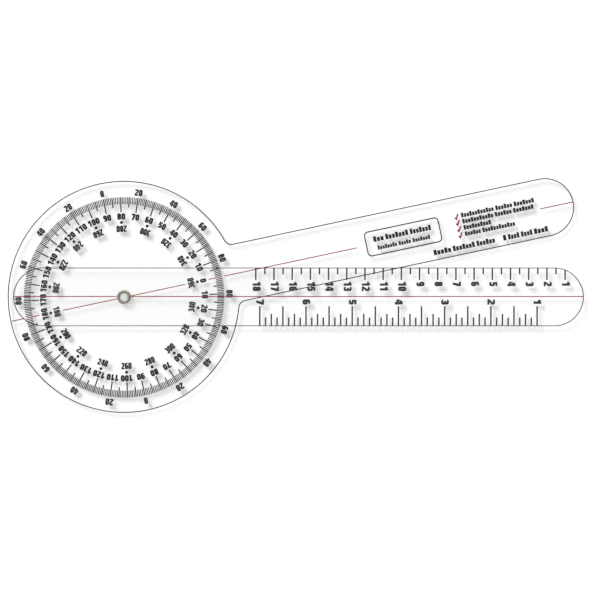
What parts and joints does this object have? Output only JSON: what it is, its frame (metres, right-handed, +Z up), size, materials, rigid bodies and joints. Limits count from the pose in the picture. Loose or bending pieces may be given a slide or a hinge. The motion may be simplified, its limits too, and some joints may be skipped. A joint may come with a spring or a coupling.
{
  "type": "goniometer",
  "caption": "Flat clear full-circle goniometer: a round degree dial with a straight arm, and a ruler arm that turns over it on a hollow metal eyelet, to measure joint angles.",
  "frame": {"origin": "centre of the footprint of the goniometer lying flat with its arms 12 degrees apart, on the surface that it lies on", "axes": "+X along the ruler arm, from the pivot towards its long end; +Z up, out of the printed side; +Y towards the side that the dial's arm is opened to"},
  "size_m": [0.3166, 0.1291, 0.0055],
  "materials": {
    "clear_dial": "polished",
    "clear_ruler": "polished",
    "eyelet_metal": "satin",
    "washer_metal": "satin",
    "washer_nylon": "satin",
    "black_ink": "matte",
    "red_ink": "matte"
  },
  "bodies": {
    "dial_body": {"dial_arm": "clear_dial", "pivot_eyelet": "eyelet_metal", "back_washer": "washer_metal", "friction_washer": "washer_nylon"},
    "ruler_body": {"ruler_arm": "clear_ruler"}
  },
  "joints": [
    {"name": "pivot", "type": "hinge", "parent": "dial_body", "child": "ruler_body", "pos_m": [-0.0945, -0.00076, 0.00275], "axis": [0, 0, 1], "continuous": true}
  ]
}
